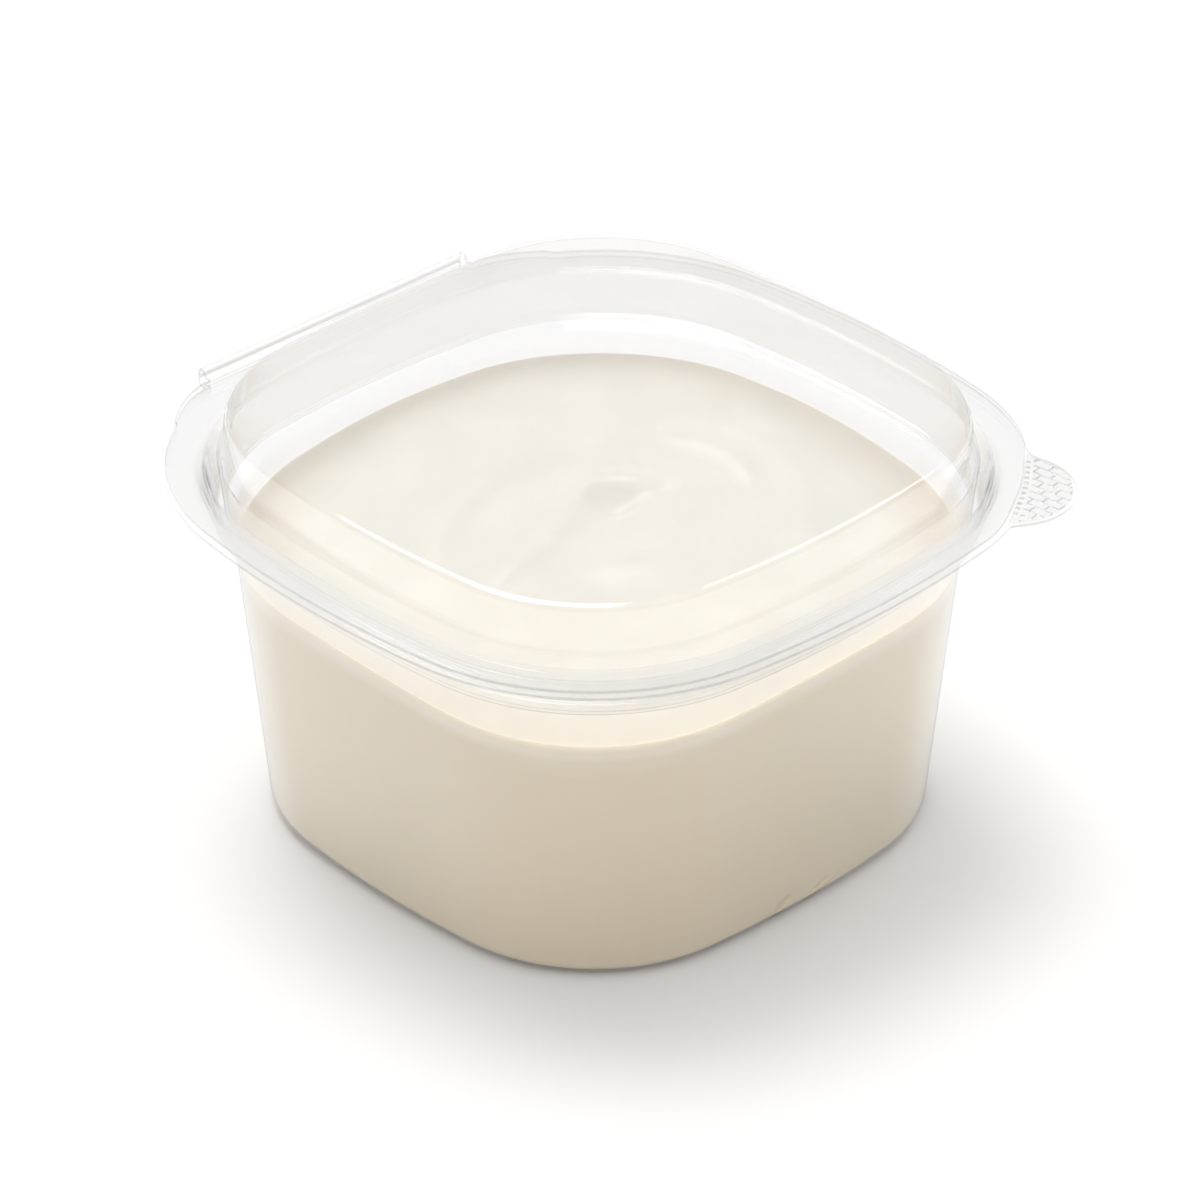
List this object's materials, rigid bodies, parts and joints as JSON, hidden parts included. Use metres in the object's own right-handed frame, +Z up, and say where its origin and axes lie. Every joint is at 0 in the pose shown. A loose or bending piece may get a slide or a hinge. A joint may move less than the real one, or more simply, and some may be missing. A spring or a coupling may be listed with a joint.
{
  "type": "hinged clear tub of mayonnaise",
  "caption": "Clear square food tub with a domed lid hinged along one side, a finger tab on one corner, and mayonnaise with a soft swirl filling it to below the rim.",
  "frame": {"origin": "middle of the flat underside of the tub", "axes": "+Z up, +Y towards the hinged side, +X to the right of someone facing the hinge; the finger tab is on the corner between +X and -Y"},
  "size_m": [0.1108, 0.1128, 0.0641],
  "materials": {
    "clear_sheet": "clear thermoformed PET, glossy, about 0.45 mm thick",
    "mayonnaise": "thick cream-coloured mayonnaise, smooth with a soft sheen"
  },
  "bodies": {
    "tub": {"tub": "clear_sheet", "mayonnaise": "mayonnaise"},
    "lid": {"lid": "clear_sheet"}
  },
  "joints": [
    {"name": "lid_hinge", "type": "hinge", "parent": "tub", "child": "lid", "pos_m": [0, 0.0575, 0.05585], "axis": [-1, 0, 0], "range_deg": [0, 180]}
  ]
}
